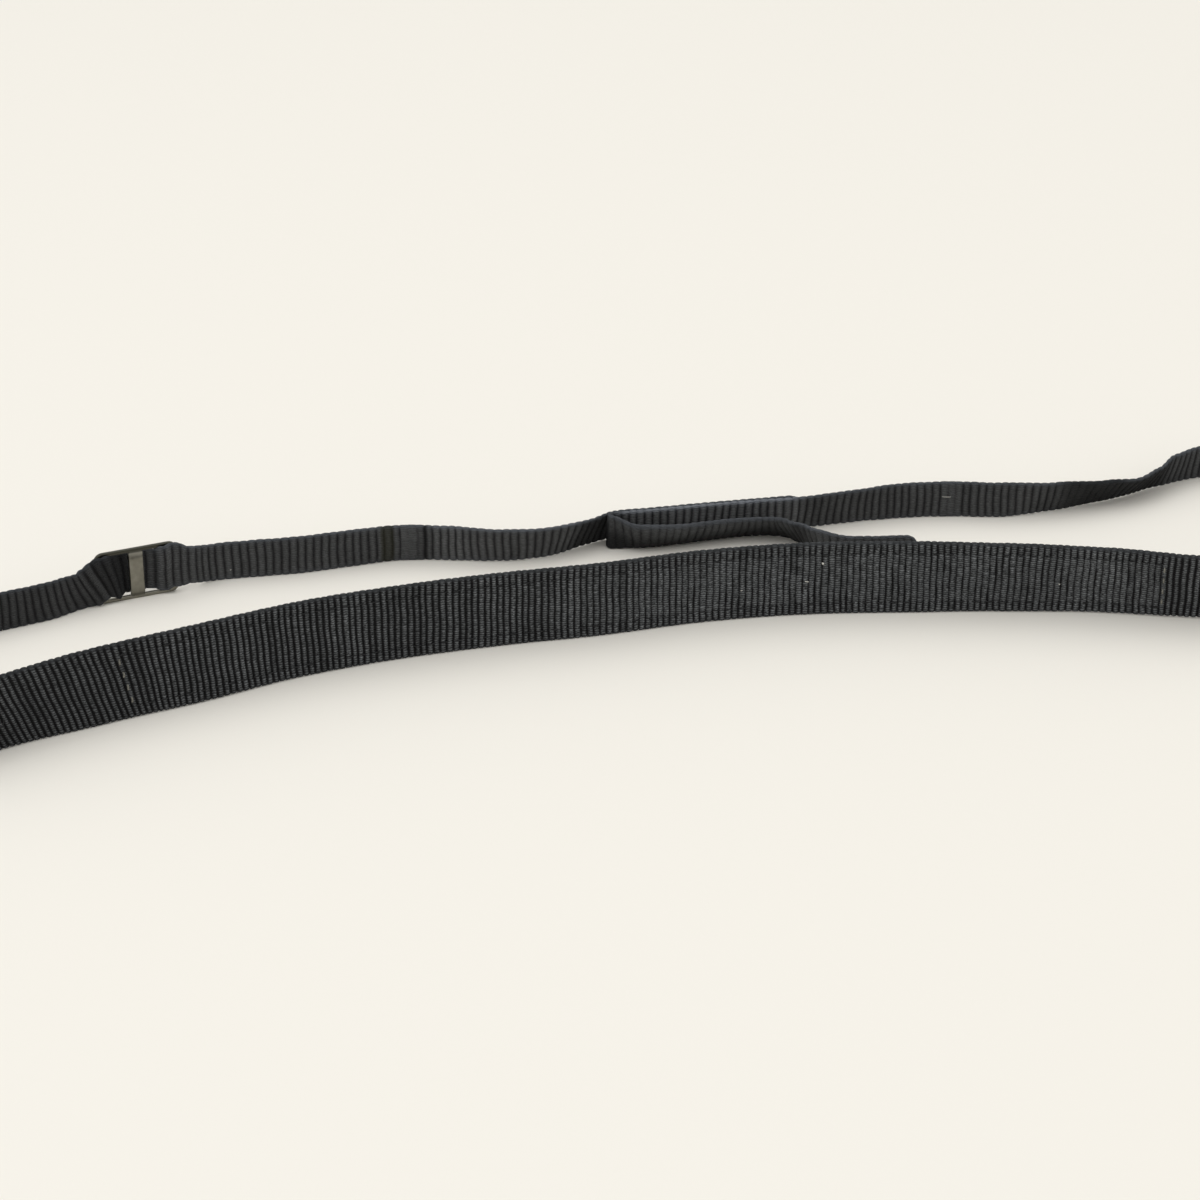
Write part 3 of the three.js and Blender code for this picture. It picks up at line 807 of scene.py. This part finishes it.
def woven_nylon(name, gap, crest, edge, yarn_pitch, beads, gap_ends):
    """Ribbed nylon webbing, woven: cords lie across it under fine yarn, so each rib is a row of small
    beads of yarn, shaped in the bump and painted lighter in the colour as glints, and the gaps between
    the ribs are painted nearly black as shade. The shade attribute paints shade into the colour where
    faces look down at the table, in creases, in the twist and along the folded end, and darkens the
    neck web towards its left end; where it is below 0 it paints light. The yarn is really 0.35 mm
    apart, and is drawn coarser where that is too fine to show."""
    material, tree = new_material(name)
    uv = add_node(tree, "ShaderNodeUVMap", uv_map="web")
    across = add_node(tree, "ShaderNodeSeparateXYZ", {0: uv}, out=1)
    mark = {
        key: add_node(tree, "ShaderNodeAttribute", attribute_name=key, out="Fac")
        for key in ("crest", "rib", "edge", "stain", "shade")
    }
    place = add_node(tree, "ShaderNodeTexCoord", out="Object")
    cloud, fleck, grain = (
        add_node(tree, "ShaderNodeTexNoise", {"Vector": place, "Scale": 1 / size, "Detail": detail})
        for size, detail in ((14 * MM, 3.0), (0.8 * MM, 2.0), (0.3 * MM, 2.0))
    )
    add = {"operation": "MULTIPLY_ADD"}
    times = {"operation": "MULTIPLY"}
    # The beads are a sine across the web, loosened by the flecks and staggered from rib to rib. They
    # shape the bump and lighten the colour as painted glints.
    stagger = add_node(tree, "ShaderNodeMath", {0: mark["rib"], 1: 2.4}, **times)
    loose = add_node(tree, "ShaderNodeMath", {0: fleck, 1: 9.0, 2: stagger}, **add)
    per_length = math.tau / yarn_pitch
    turn = add_node(tree, "ShaderNodeMath", {0: across, 1: per_length, 2: loose}, **add)
    wave = add_node(tree, "ShaderNodeMath", {0: turn}, operation="SINE")
    bead = add_node(tree, "ShaderNodeMath", {0: wave, 1: beads, 2: 1.0}, **add)
    sparkle = 3.7 * beads
    speck = add_node(tree, "ShaderNodeMath", {0: fleck, 1: sparkle, 2: 1 - sparkle / 2}, **add)
    worn = add_node(tree, "ShaderNodeMath", {0: cloud, 1: 0.7, 2: 0.65}, **add)
    # Painted shade: the shade attribute darkens the colour, and below 0 it paints light; this is
    # multiplied into the cloudy tone.
    painted_shade = add_node(tree, "ShaderNodeMath", {0: mark["shade"], 1: -0.8, 2: 1.0}, **add)
    bright = add_node(tree, "ShaderNodeMath", {0: bead, 1: speck}, **times)
    even = add_node(tree, "ShaderNodeMath", {0: worn, 1: painted_shade}, **times)
    # Painted shade: the gaps between the ribs take the nearly black gap colour.
    stops = ((0.0, gap), (gap_ends, gap), (1.0, crest))
    ribs = add_node(tree, "ShaderNodeValToRGB", {0: mark["crest"]}, stops)
    beaded = add_node(tree, "ShaderNodeVectorMath", {0: ribs, "Scale": bright}, operation="SCALE")
    colours = {"data_type": "RGBA", "out": 2}
    edged = add_node(tree, "ShaderNodeMix", {0: mark["edge"], 6: beaded, 7: edge}, **colours)
    faded = add_node(tree, "ShaderNodeVectorMath", {0: edged, "Scale": even}, operation="SCALE")
    stain = linear("#2a2a1c")
    stained = add_node(tree, "ShaderNodeMix", {0: mark["stain"], 6: faded, 7: stain}, **colours)
    fine = add_node(tree, "ShaderNodeMath", {0: grain, 1: 0.8, 2: wave}, **add)
    bump = add_node(tree, "ShaderNodeBump", {"Strength": 0.7, "Distance": 0.1 * MM, "Height": fine})
    surface = add_node(tree, "ShaderNodeBsdfPrincipled", {
        "Base Color": stained,
        "Normal": bump,
        "Roughness": 0.72,
        "IOR": 1.5,
        "Specular IOR Level": 0.12,
        "Sheen Weight": 0.03,
        "Sheen Roughness": 0.5,
        "Sheen Tint": linear("#b9c0cc"),
    })
    add_node(tree, "ShaderNodeOutputMaterial", {"Surface": surface}, out=None)
    return material


def plated_metal(name, colour, dark, rail_from):
    """Pressed steel with dull nickel plate: a soft grey-brown shine with fine rubbed lines. The upper
    rail, above the height rail_from, is painted darker as shade."""
    material, tree = new_material(name)
    place = add_node(tree, "ShaderNodeTexCoord", out="Object")
    rubbed = add_node(tree, "ShaderNodeMapping", {"Vector": place, "Scale": (400, 400, 6000)})
    lines = add_node(tree, "ShaderNodeTexNoise", {"Vector": rubbed, "Scale": 1.0, "Detail": 4.0})
    blotch = 1 / (2.5 * MM)
    patches = add_node(tree, "ShaderNodeTexNoise", {"Vector": place, "Scale": blotch, "Detail": 5.0})
    plate = add_node(tree, "ShaderNodeValToRGB", {0: patches}, ((0.35, dark), (0.65, colour)))
    height = add_node(tree, "ShaderNodeSeparateXYZ", {0: place}, out=2)
    upper = add_node(tree, "ShaderNodeMapRange", {0: height, 1: rail_from - 0.3 * MM, 2: rail_from})
    # Painted shade: the upper rail takes a darker colour.
    shaded_rail = {0: upper, 6: plate, 7: linear("#4b4a43")}
    bump = {"Strength": 0.35, "Distance": 0.05 * MM, "Height": lines}
    surface = add_node(tree, "ShaderNodeBsdfPrincipled", {
        "Base Color": add_node(tree, "ShaderNodeMix", shaded_rail, data_type="RGBA", out=2),
        "Roughness": add_node(tree, "ShaderNodeMapRange", {0: lines, 3: 0.3, 4: 0.5}),
        "Normal": add_node(tree, "ShaderNodeBump", bump),
        "Metallic": 1.0,
    })
    add_node(tree, "ShaderNodeOutputMaterial", {"Surface": surface}, out=None)
    return material


def sewing_thread(name, colour, shade):
    """Bonded polyester thread: a twisted yarn with a low shine."""
    material, tree = new_material(name)
    place = add_node(tree, "ShaderNodeTexCoord", out="Object")
    ply = 1 / (0.4 * MM)
    twist = add_node(tree, "ShaderNodeTexNoise", {"Vector": place, "Scale": ply, "Detail": 2.0})
    bump = {"Strength": 0.5, "Distance": 0.06 * MM, "Height": twist}
    surface = add_node(tree, "ShaderNodeBsdfPrincipled", {
        "Base Color": add_node(tree, "ShaderNodeValToRGB", {0: twist}, ((0.3, shade), (0.7, colour))),
        "Normal": add_node(tree, "ShaderNodeBump", bump),
        "Roughness": 0.6,
        "Specular IOR Level": 0.25,
    })
    add_node(tree, "ShaderNodeOutputMaterial", {"Surface": surface}, out=None)
    return material


def plain_floor(name, colour):
    """Matt painted board: even and without shine, so that only the soft shade shows."""
    material, tree = new_material(name)
    surface = add_node(tree, "ShaderNodeBsdfPrincipled", {
        "Base Color": colour,
        "Roughness": 0.9,
        "Specular IOR Level": 0.1,
    })
    add_node(tree, "ShaderNodeOutputMaterial", {"Surface": surface}, out=None)
    return material


def rounded_loop(width, height, corner, steps):
    """Points round a rounded rectangle: four arcs of the corner's radius, joined by straight lines."""
    angle = np.linspace(0, np.pi / 2, steps)
    arcs = []
    for k, (sx, sy) in enumerate(((1, 1), (-1, 1), (-1, -1), (1, -1))):
        turn = angle + k * np.pi / 2
        arcs.append(np.stack([
            sx * (width / 2 - corner) + corner * np.cos(turn),
            sy * (height / 2 - corner) + corner * np.sin(turn),
        ], -1))
    return np.concatenate(arcs)


def slider_mesh(lay):
    """The outer ring as a soft-cornered section carried round between the outer outline and the
    hole's outline, and the middle bar as the same section carried from rail to rail."""
    sizes = lay.sizes
    arc_steps = 7
    edge_steps = 4
    bar_rings = 6
    outer = rounded_loop(sizes.slider_length, lay.slider_height, SLIDER_CORNER, arc_steps)
    hole_length = sizes.slider_length - 2 * sizes.slider_end_bar
    inner = rounded_loop(hole_length, lay.slot_height, SLOT_CORNER, arc_steps)
    section_share = rounded_loop(1, 1, 0.3, edge_steps)
    across = section_share[:, 0] + 0.5
    through = section_share[:, 1] * sizes.slider_plate
    ring_xz = outer[:, None] + (inner - outer)[:, None] * across[None, :, None]
    ring_y = np.broadcast_to(through, ring_xz.shape[:2])
    ring = np.stack([ring_xz[..., 0], ring_y, ring_xz[..., 1]], -1)
    rings, sides = ring.shape[:2]
    i, k = np.meshgrid(np.arange(rings), np.arange(sides), indexing="ij")
    after = (i + 1) % rings * sides
    beside = (k + 1) % sides
    quads = np.stack([i * sides + k, i * sides + beside, after + beside, after + k], -1)
    reach = lay.slot_height + 0.5 * sizes.slider_rail
    heights = np.linspace(-0.5, 0.5, bar_rings)[:, None] * reach
    bar_plate = BAR_SHARE * sizes.slider_plate
    bar_loop = rounded_loop(sizes.slider_middle_bar, bar_plate, BAR_CORNER, edge_steps)
    bar =np.stack(np.broadcast_arrays(bar_loop[None, :, 0], bar_loop[None, :, 1], heights), -1)
    return joined([
        (ring.reshape(-1, 3), quads.reshape(-1, 4).tolist()),
        (bar.reshape(-1, 3), grid_faces(bar_rings, len(bar_loop))),
    ])


def stitch_array(lay, web, s, v, side, direction, length, radius, lift):
    """Short threads on a web's face: each is a thin tube whose middle line is a low arch, so its
    ends go into the cloth. direction 0 lies along the web and pi/2 across it."""
    s, v = np.broadcast_arrays(np.asarray(s, float), np.asarray(v, float))
    n = side * (web["thickness"] / 2 + lift) * np.ones_like(s)
    middle, along, up, out = lay.place(web, s, v, n)
    direction = np.broadcast_to(np.asarray(direction, float), s.shape)[..., None]
    run = along * np.cos(direction) + up * np.sin(direction)
    out = out * side
    cross = np.cross(run, out)
    t = np.linspace(-1, 1, STITCH_RINGS)
    angle = np.arange(STITCH_SIDES) * math.tau / STITCH_SIDES
    arch = radius * (0.75 - 1.6 * t**2)
    thin = radius * np.sqrt(np.clip(1 - 0.75 * t**6, 0.05, 1))
    points = (
        middle[:, None, None, :]
        + run[:, None, None, :] * (t * length / 2)[None, :, None, None]
        + out[:, None, None, :] * (arch[:, None] + thin[:, None] * np.cos(angle))[None, :, :, None]
        + cross[:, None, None, :] * (thin[:, None] * np.sin(angle))[None, :, :, None]
    )
    faces = grid_faces(STITCH_RINGS, STITCH_SIDES)
    return joined([(stitch.reshape(-1, 3), faces) for stitch in points])


def boxed_cross(lay, web, side, low, high):
    """The seam that holds a tail: a rectangle of stitches with a cross from corner to corner."""
    long_side = np.linspace(low + MM, high - MM, 6)
    short_side = np.linspace(-BOX_REACH, BOX_REACH, 4)[:-1] + BOX_REACH / 3
    t = np.linspace(0.12, 0.88, 6)
    slope = math.atan2(2 * BOX_REACH, high - low)
    rows = [(long_side, v, 0, LAP_STITCH) for v in (-BOX_REACH, BOX_REACH)]
    rows += [(s, short_side, math.pi / 2, LAP_END_STITCH) for s in (low, high)]
    for sign in (-1, 1):
        v = sign * BOX_REACH * (2 * t - 1)
        rows.append((low + (high - low) * t, v, sign * slope, LAP_STITCH))
    return [
        stitch_array(lay, web, s, v, side, direction, *stitch) for s, v, direction, stitch in rows
    ]


def joined(parts):
    """Several point and face lists as one."""
    points, faces, start = [], [], 0
    for p, f in parts:
        points.append(p)
        faces += [[q + start for q in face] for face in f]
        start += len(p)
    return np.concatenate(points), faces


def turn_out(piece):
    """Recalculates the normals of a piece made of closed shells."""
    work = bmesh.new()
    work.from_mesh(piece.data)
    bmesh.ops.recalc_face_normals(work, faces=work.faces)
    work.to_mesh(piece.data)
    work.free()


class STRAP_OT_camera(bpy.types.Operator):
    """Sets the camera where the photograph was taken from"""

    bl_idname = "strap.camera"
    bl_label = "Camera"

    def execute(self, context):
        lay = Lay(context.scene.strap)
        data = bpy.data.cameras.new("photo_camera")
        data.sensor_width = SENSOR
        data.lens = SENSOR * CAMERA_FOCAL_PIXELS / PHOTO_SIDE
        data.clip_end = 20
        camera = bpy.data.objects.new("photo_camera", data)
        context.scene.collection.objects.link(camera)
        back = Vector((0, -math.cos(CAMERA_RISE), math.sin(CAMERA_RISE))) * CAMERA_DISTANCE
        camera.location = Vector(lay.shift) + back
        camera.rotation_euler = (math.pi / 2 - CAMERA_RISE, 0, 0)
        context.scene.camera = camera
        return {"FINISHED"}


class STRAP_OT_neck_web(bpy.types.Operator):
    """Makes the wide ribbed web and the strip sewn behind it"""

    bl_idname = "strap.neck_web"
    bl_label = "Neck web and backing"

    def execute(self, context):
        lay = Lay(context.scene.strap)
        sizes = context.scene.strap
        crest = (*sizes.neck_colour, 1.0)
        # The nearly black gap colour is painted shade between the ribs.
        cloth = woven_nylon(
            "ribbed_woven_nylon_wide", linear("#0f0f10"), crest, linear("#303234"),
            yarn_pitch=0.6 * MM, beads=0.65, gap_ends=0.6,
        )
        make_web(lay, neck_spec(lay), "neck_webbing", "neck_web", cloth, "neck_webbing", 3)
        dark = linear("#1e1f21")
        # Its gap colour, too, is painted shade between the ribs.
        back = woven_nylon(
            "plain_woven_nylon_backing", linear("#121213"), dark, dark,
            yarn_pitch=0.5 * MM, beads=0.3, gap_ends=0.2,
        )
        make_web(lay, backing_spec(lay), "neck_backing_strip", "neck_backing", back, "backing_web", 5)
        return {"FINISHED"}


class STRAP_OT_tails(bpy.types.Operator):
    """Makes the two narrow ribbed tails"""

    bl_idname = "strap.tails"
    bl_label = "Tails"

    def execute(self, context):
        lay = Lay(context.scene.strap)
        crest = (*context.scene.strap.tail_colour, 1.0)
        # The gap colour is painted shade between the ribs, and the lighter edge colour a painted
        # highlight along the tails' edges.
        cloth = woven_nylon(
            "ribbed_woven_nylon_narrow", linear("#242425"), crest, linear("#4a4d52"),
            yarn_pitch=0.5 * MM, beads=0.2, gap_ends=0.45,
        )
        for seed, side in ((11, "left"), (13, "right")):
            web = tail_spec(lay, side)
            make_web(lay, web, side + "_tail_webbing", side + "_tail", cloth, "tail_webbing", seed)
        return {"FINISHED"}


class STRAP_OT_sliders(bpy.types.Operator):
    """Makes the metal slider on each tail"""

    bl_idname = "strap.sliders"
    bl_label = "Sliders"

    def execute(self, context):
        lay = Lay(context.scene.strap)
        sizes = lay.sizes
        colour = (*sizes.metal_colour, 1.0)
        rail_from = lay.slot_height + sizes.slider_rail
        dark = linear("#7a776d")
        metal = plated_metal("pressed_steel_dull_nickel_plate", colour, dark, rail_from)
        points, faces = slider_mesh(lay)
        for name, s in zip(("left_slider", "right_slider"), lay.sliders):
            p = at(lay.line, s)
            c, k = math.cos(p["heading"]), math.sin(p["heading"])
            turned = points @ np.array([[c, k, 0], [-k, c, 0], [0, 0, 1]])
            middle = np.array([p["x"], p["y"], lay.slider_height / 2]) + lay.shift
            turn_out(new_piece(name + "_plated", turned + middle, faces, metal, "slider_metal", name))
        return {"FINISHED"}


class STRAP_OT_seams(bpy.types.Operator):
    """Sews the backing and the tails on with rows of stitches"""

    bl_idname = "strap.seams"
    bl_label = "Seams"

    def execute(self, context):
        lay = Lay(context.scene.strap)
        sizes = lay.sizes
        dark = sewing_thread("bonded_polyester_thread_dark", linear("#222325"), linear("#111112"))
        worn = sewing_thread("bonded_polyester_thread_worn", linear("#88867e"), linear("#4c4b46"))
        neck, backing = neck_spec(lay), backing_spec(lay)
        count = int(SEAM_SPAN / sizes.stitch_pitch)
        rows = np.linspace(lay.seams[0] + ROW_INWARD, lay.seams[1] - ROW_INWARD, count)
        across = np.linspace(-SEAM_ROW, SEAM_ROW, 5)[:-1] + SEAM_ROW / 4
        edges, ends = [], []
        for web, side in ((neck, -1), (backing, 1)):
            for v in (-SEAM_ROW, SEAM_ROW):
                edges.append(stitch_array(lay, web, rows, v, side, 0, *ROW_STITCH))
            for seam in lay.seams:
                inside = seam + math.copysign(CROSS_INWARD, lay.neck_at - seam)
                ends.append(
                    stitch_array(lay, web, inside, across, side, math.pi / 2, *CROSS_STITCH)
                )
        for name, parts, thread in (("backing_stitches", edges, dark), ("cross_stitches", ends, worn)):
            turn_out(new_piece(name, *joined(parts), thread, "neck_webbing"))
        parts = []
        for start, side_name in ((lay.neck_from, "left"), (lay.neck_to - LAP_LENGTH, "right")):
            low, high = start + BOX_MARGIN, start + LAP_LENGTH - BOX_MARGIN
            for web, side in ((neck, -1), (tail_spec(lay, side_name), 1)):
                parts += boxed_cross(lay, web, side, low, high)
        turn_out(new_piece("lap_stitches", *joined(parts), dark, "neck_webbing"))
        return {"FINISHED"}


class STRAP_OT_lint(bpy.types.Operator):
    """Scatters the few light fibres that are caught in the webs"""

    bl_idname = "strap.lint"
    bl_label = "Lint"

    def execute(self, context):
        lay = Lay(context.scene.strap)
        fibre = sewing_thread("loose_cotton_fibre", linear("#d9d7d0"), linear("#a9a7a0"))
        webs = (
            ("neck", NECK_LINT, neck_spec(lay), -1, "neck_webbing"),
            ("left_tail", LEFT_LINT, tail_spec(lay, "left"), 1, "tail_webbing"),
            ("right_tail", RIGHT_LINT, tail_spec(lay, "right"), 1, "tail_webbing"),
        )
        for name, table, web, side, slot_name in webs:
            parts = [
                stitch_array(lay, web, [s], [v], side, math.radians(turn), length, radius, LINT_LIFT)
                for s, v, length, radius, turn in table
            ]
            turn_out(new_piece(name + "_lint", *joined(parts), fibre, slot_name))
        return {"FINISHED"}


class STRAP_OT_stage(bpy.types.Operator):
    """Lays a plain pale floor and soft studio light"""

    bl_idname = "strap.stage"
    bl_label = "Floor and light"

    def execute(self, context):
        scene = context.scene
        mesh = bpy.data.meshes.new("floor")
        reach = FLOOR_REACH
        corners = [(-reach, -reach, 0), (reach, -reach, 0), (reach, reach, 0), (-reach, reach, 0)]
        mesh.from_pydata(corners, [], [(0, 1, 2, 3)])
        mesh.materials.append(plain_floor("matt_painted_board", linear("#efece5")))
        floor = bpy.data.objects.new("floor", mesh)
        scene.collection.objects.link(floor)
        world = bpy.data.worlds.new("studio")
        world.use_nodes = True
        sky = world.node_tree.nodes["Background"]
        sky.inputs["Color"].default_value = linear("#fffefb")
        sky.inputs["Strength"].default_value = SKY_STRENGTH
        scene.world = world
        for name, place, size, watts in LIGHTS:
            data = bpy.data.lights.new(name, "AREA")
            data.energy = watts
            data.size = size
            light = bpy.data.objects.new(name, data)
            light.location = place
            light.rotation_euler = (-Vector(place)).to_track_quat("-Z", "Y").to_euler()
            scene.collection.objects.link(light)
        scene.view_settings.view_transform = "Standard"
        return {"FINISHED"}


class STRAP_PT_panel(bpy.types.Panel):
    """Lists the strap's pieces and sizes"""

    bl_label = "Camera neck strap"
    bl_idname = "STRAP_PT_panel"
    bl_space_type = "VIEW_3D"
    bl_region_type = "UI"
    bl_category = "Strap"

    def draw(self, context):
        layout = self.layout
        for operator in OPERATORS:
            layout.operator(operator.bl_idname)
        for name in StrapSizes.__annotations__:
            layout.prop(context.scene.strap, name)


OPERATORS = (
    STRAP_OT_camera,
    STRAP_OT_neck_web,
    STRAP_OT_tails,
    STRAP_OT_sliders,
    STRAP_OT_seams,
    STRAP_OT_lint,
    STRAP_OT_stage,
)
CLASSES = (StrapSizes, *OPERATORS, STRAP_PT_panel)


def register():
    """Adds the classes and the strap's sizes to Blender."""
    for cls in CLASSES:
        bpy.utils.register_class(cls)
    bpy.types.Scene.strap = PointerProperty(type=StrapSizes)


def unregister():
    """Takes away what register has added."""
    del bpy.types.Scene.strap
    for cls in reversed(CLASSES):
        bpy.utils.unregister_class(cls)


def main():
    """Builds the whole scene."""
    register()
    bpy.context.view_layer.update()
    bpy.ops.strap.camera()
    bpy.ops.strap.neck_web()
    bpy.ops.strap.tails()
    bpy.ops.strap.sliders()
    bpy.ops.strap.seams()
    bpy.ops.strap.lint()
    bpy.ops.strap.stage()
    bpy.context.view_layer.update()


if __name__ == "__main__":
    main()
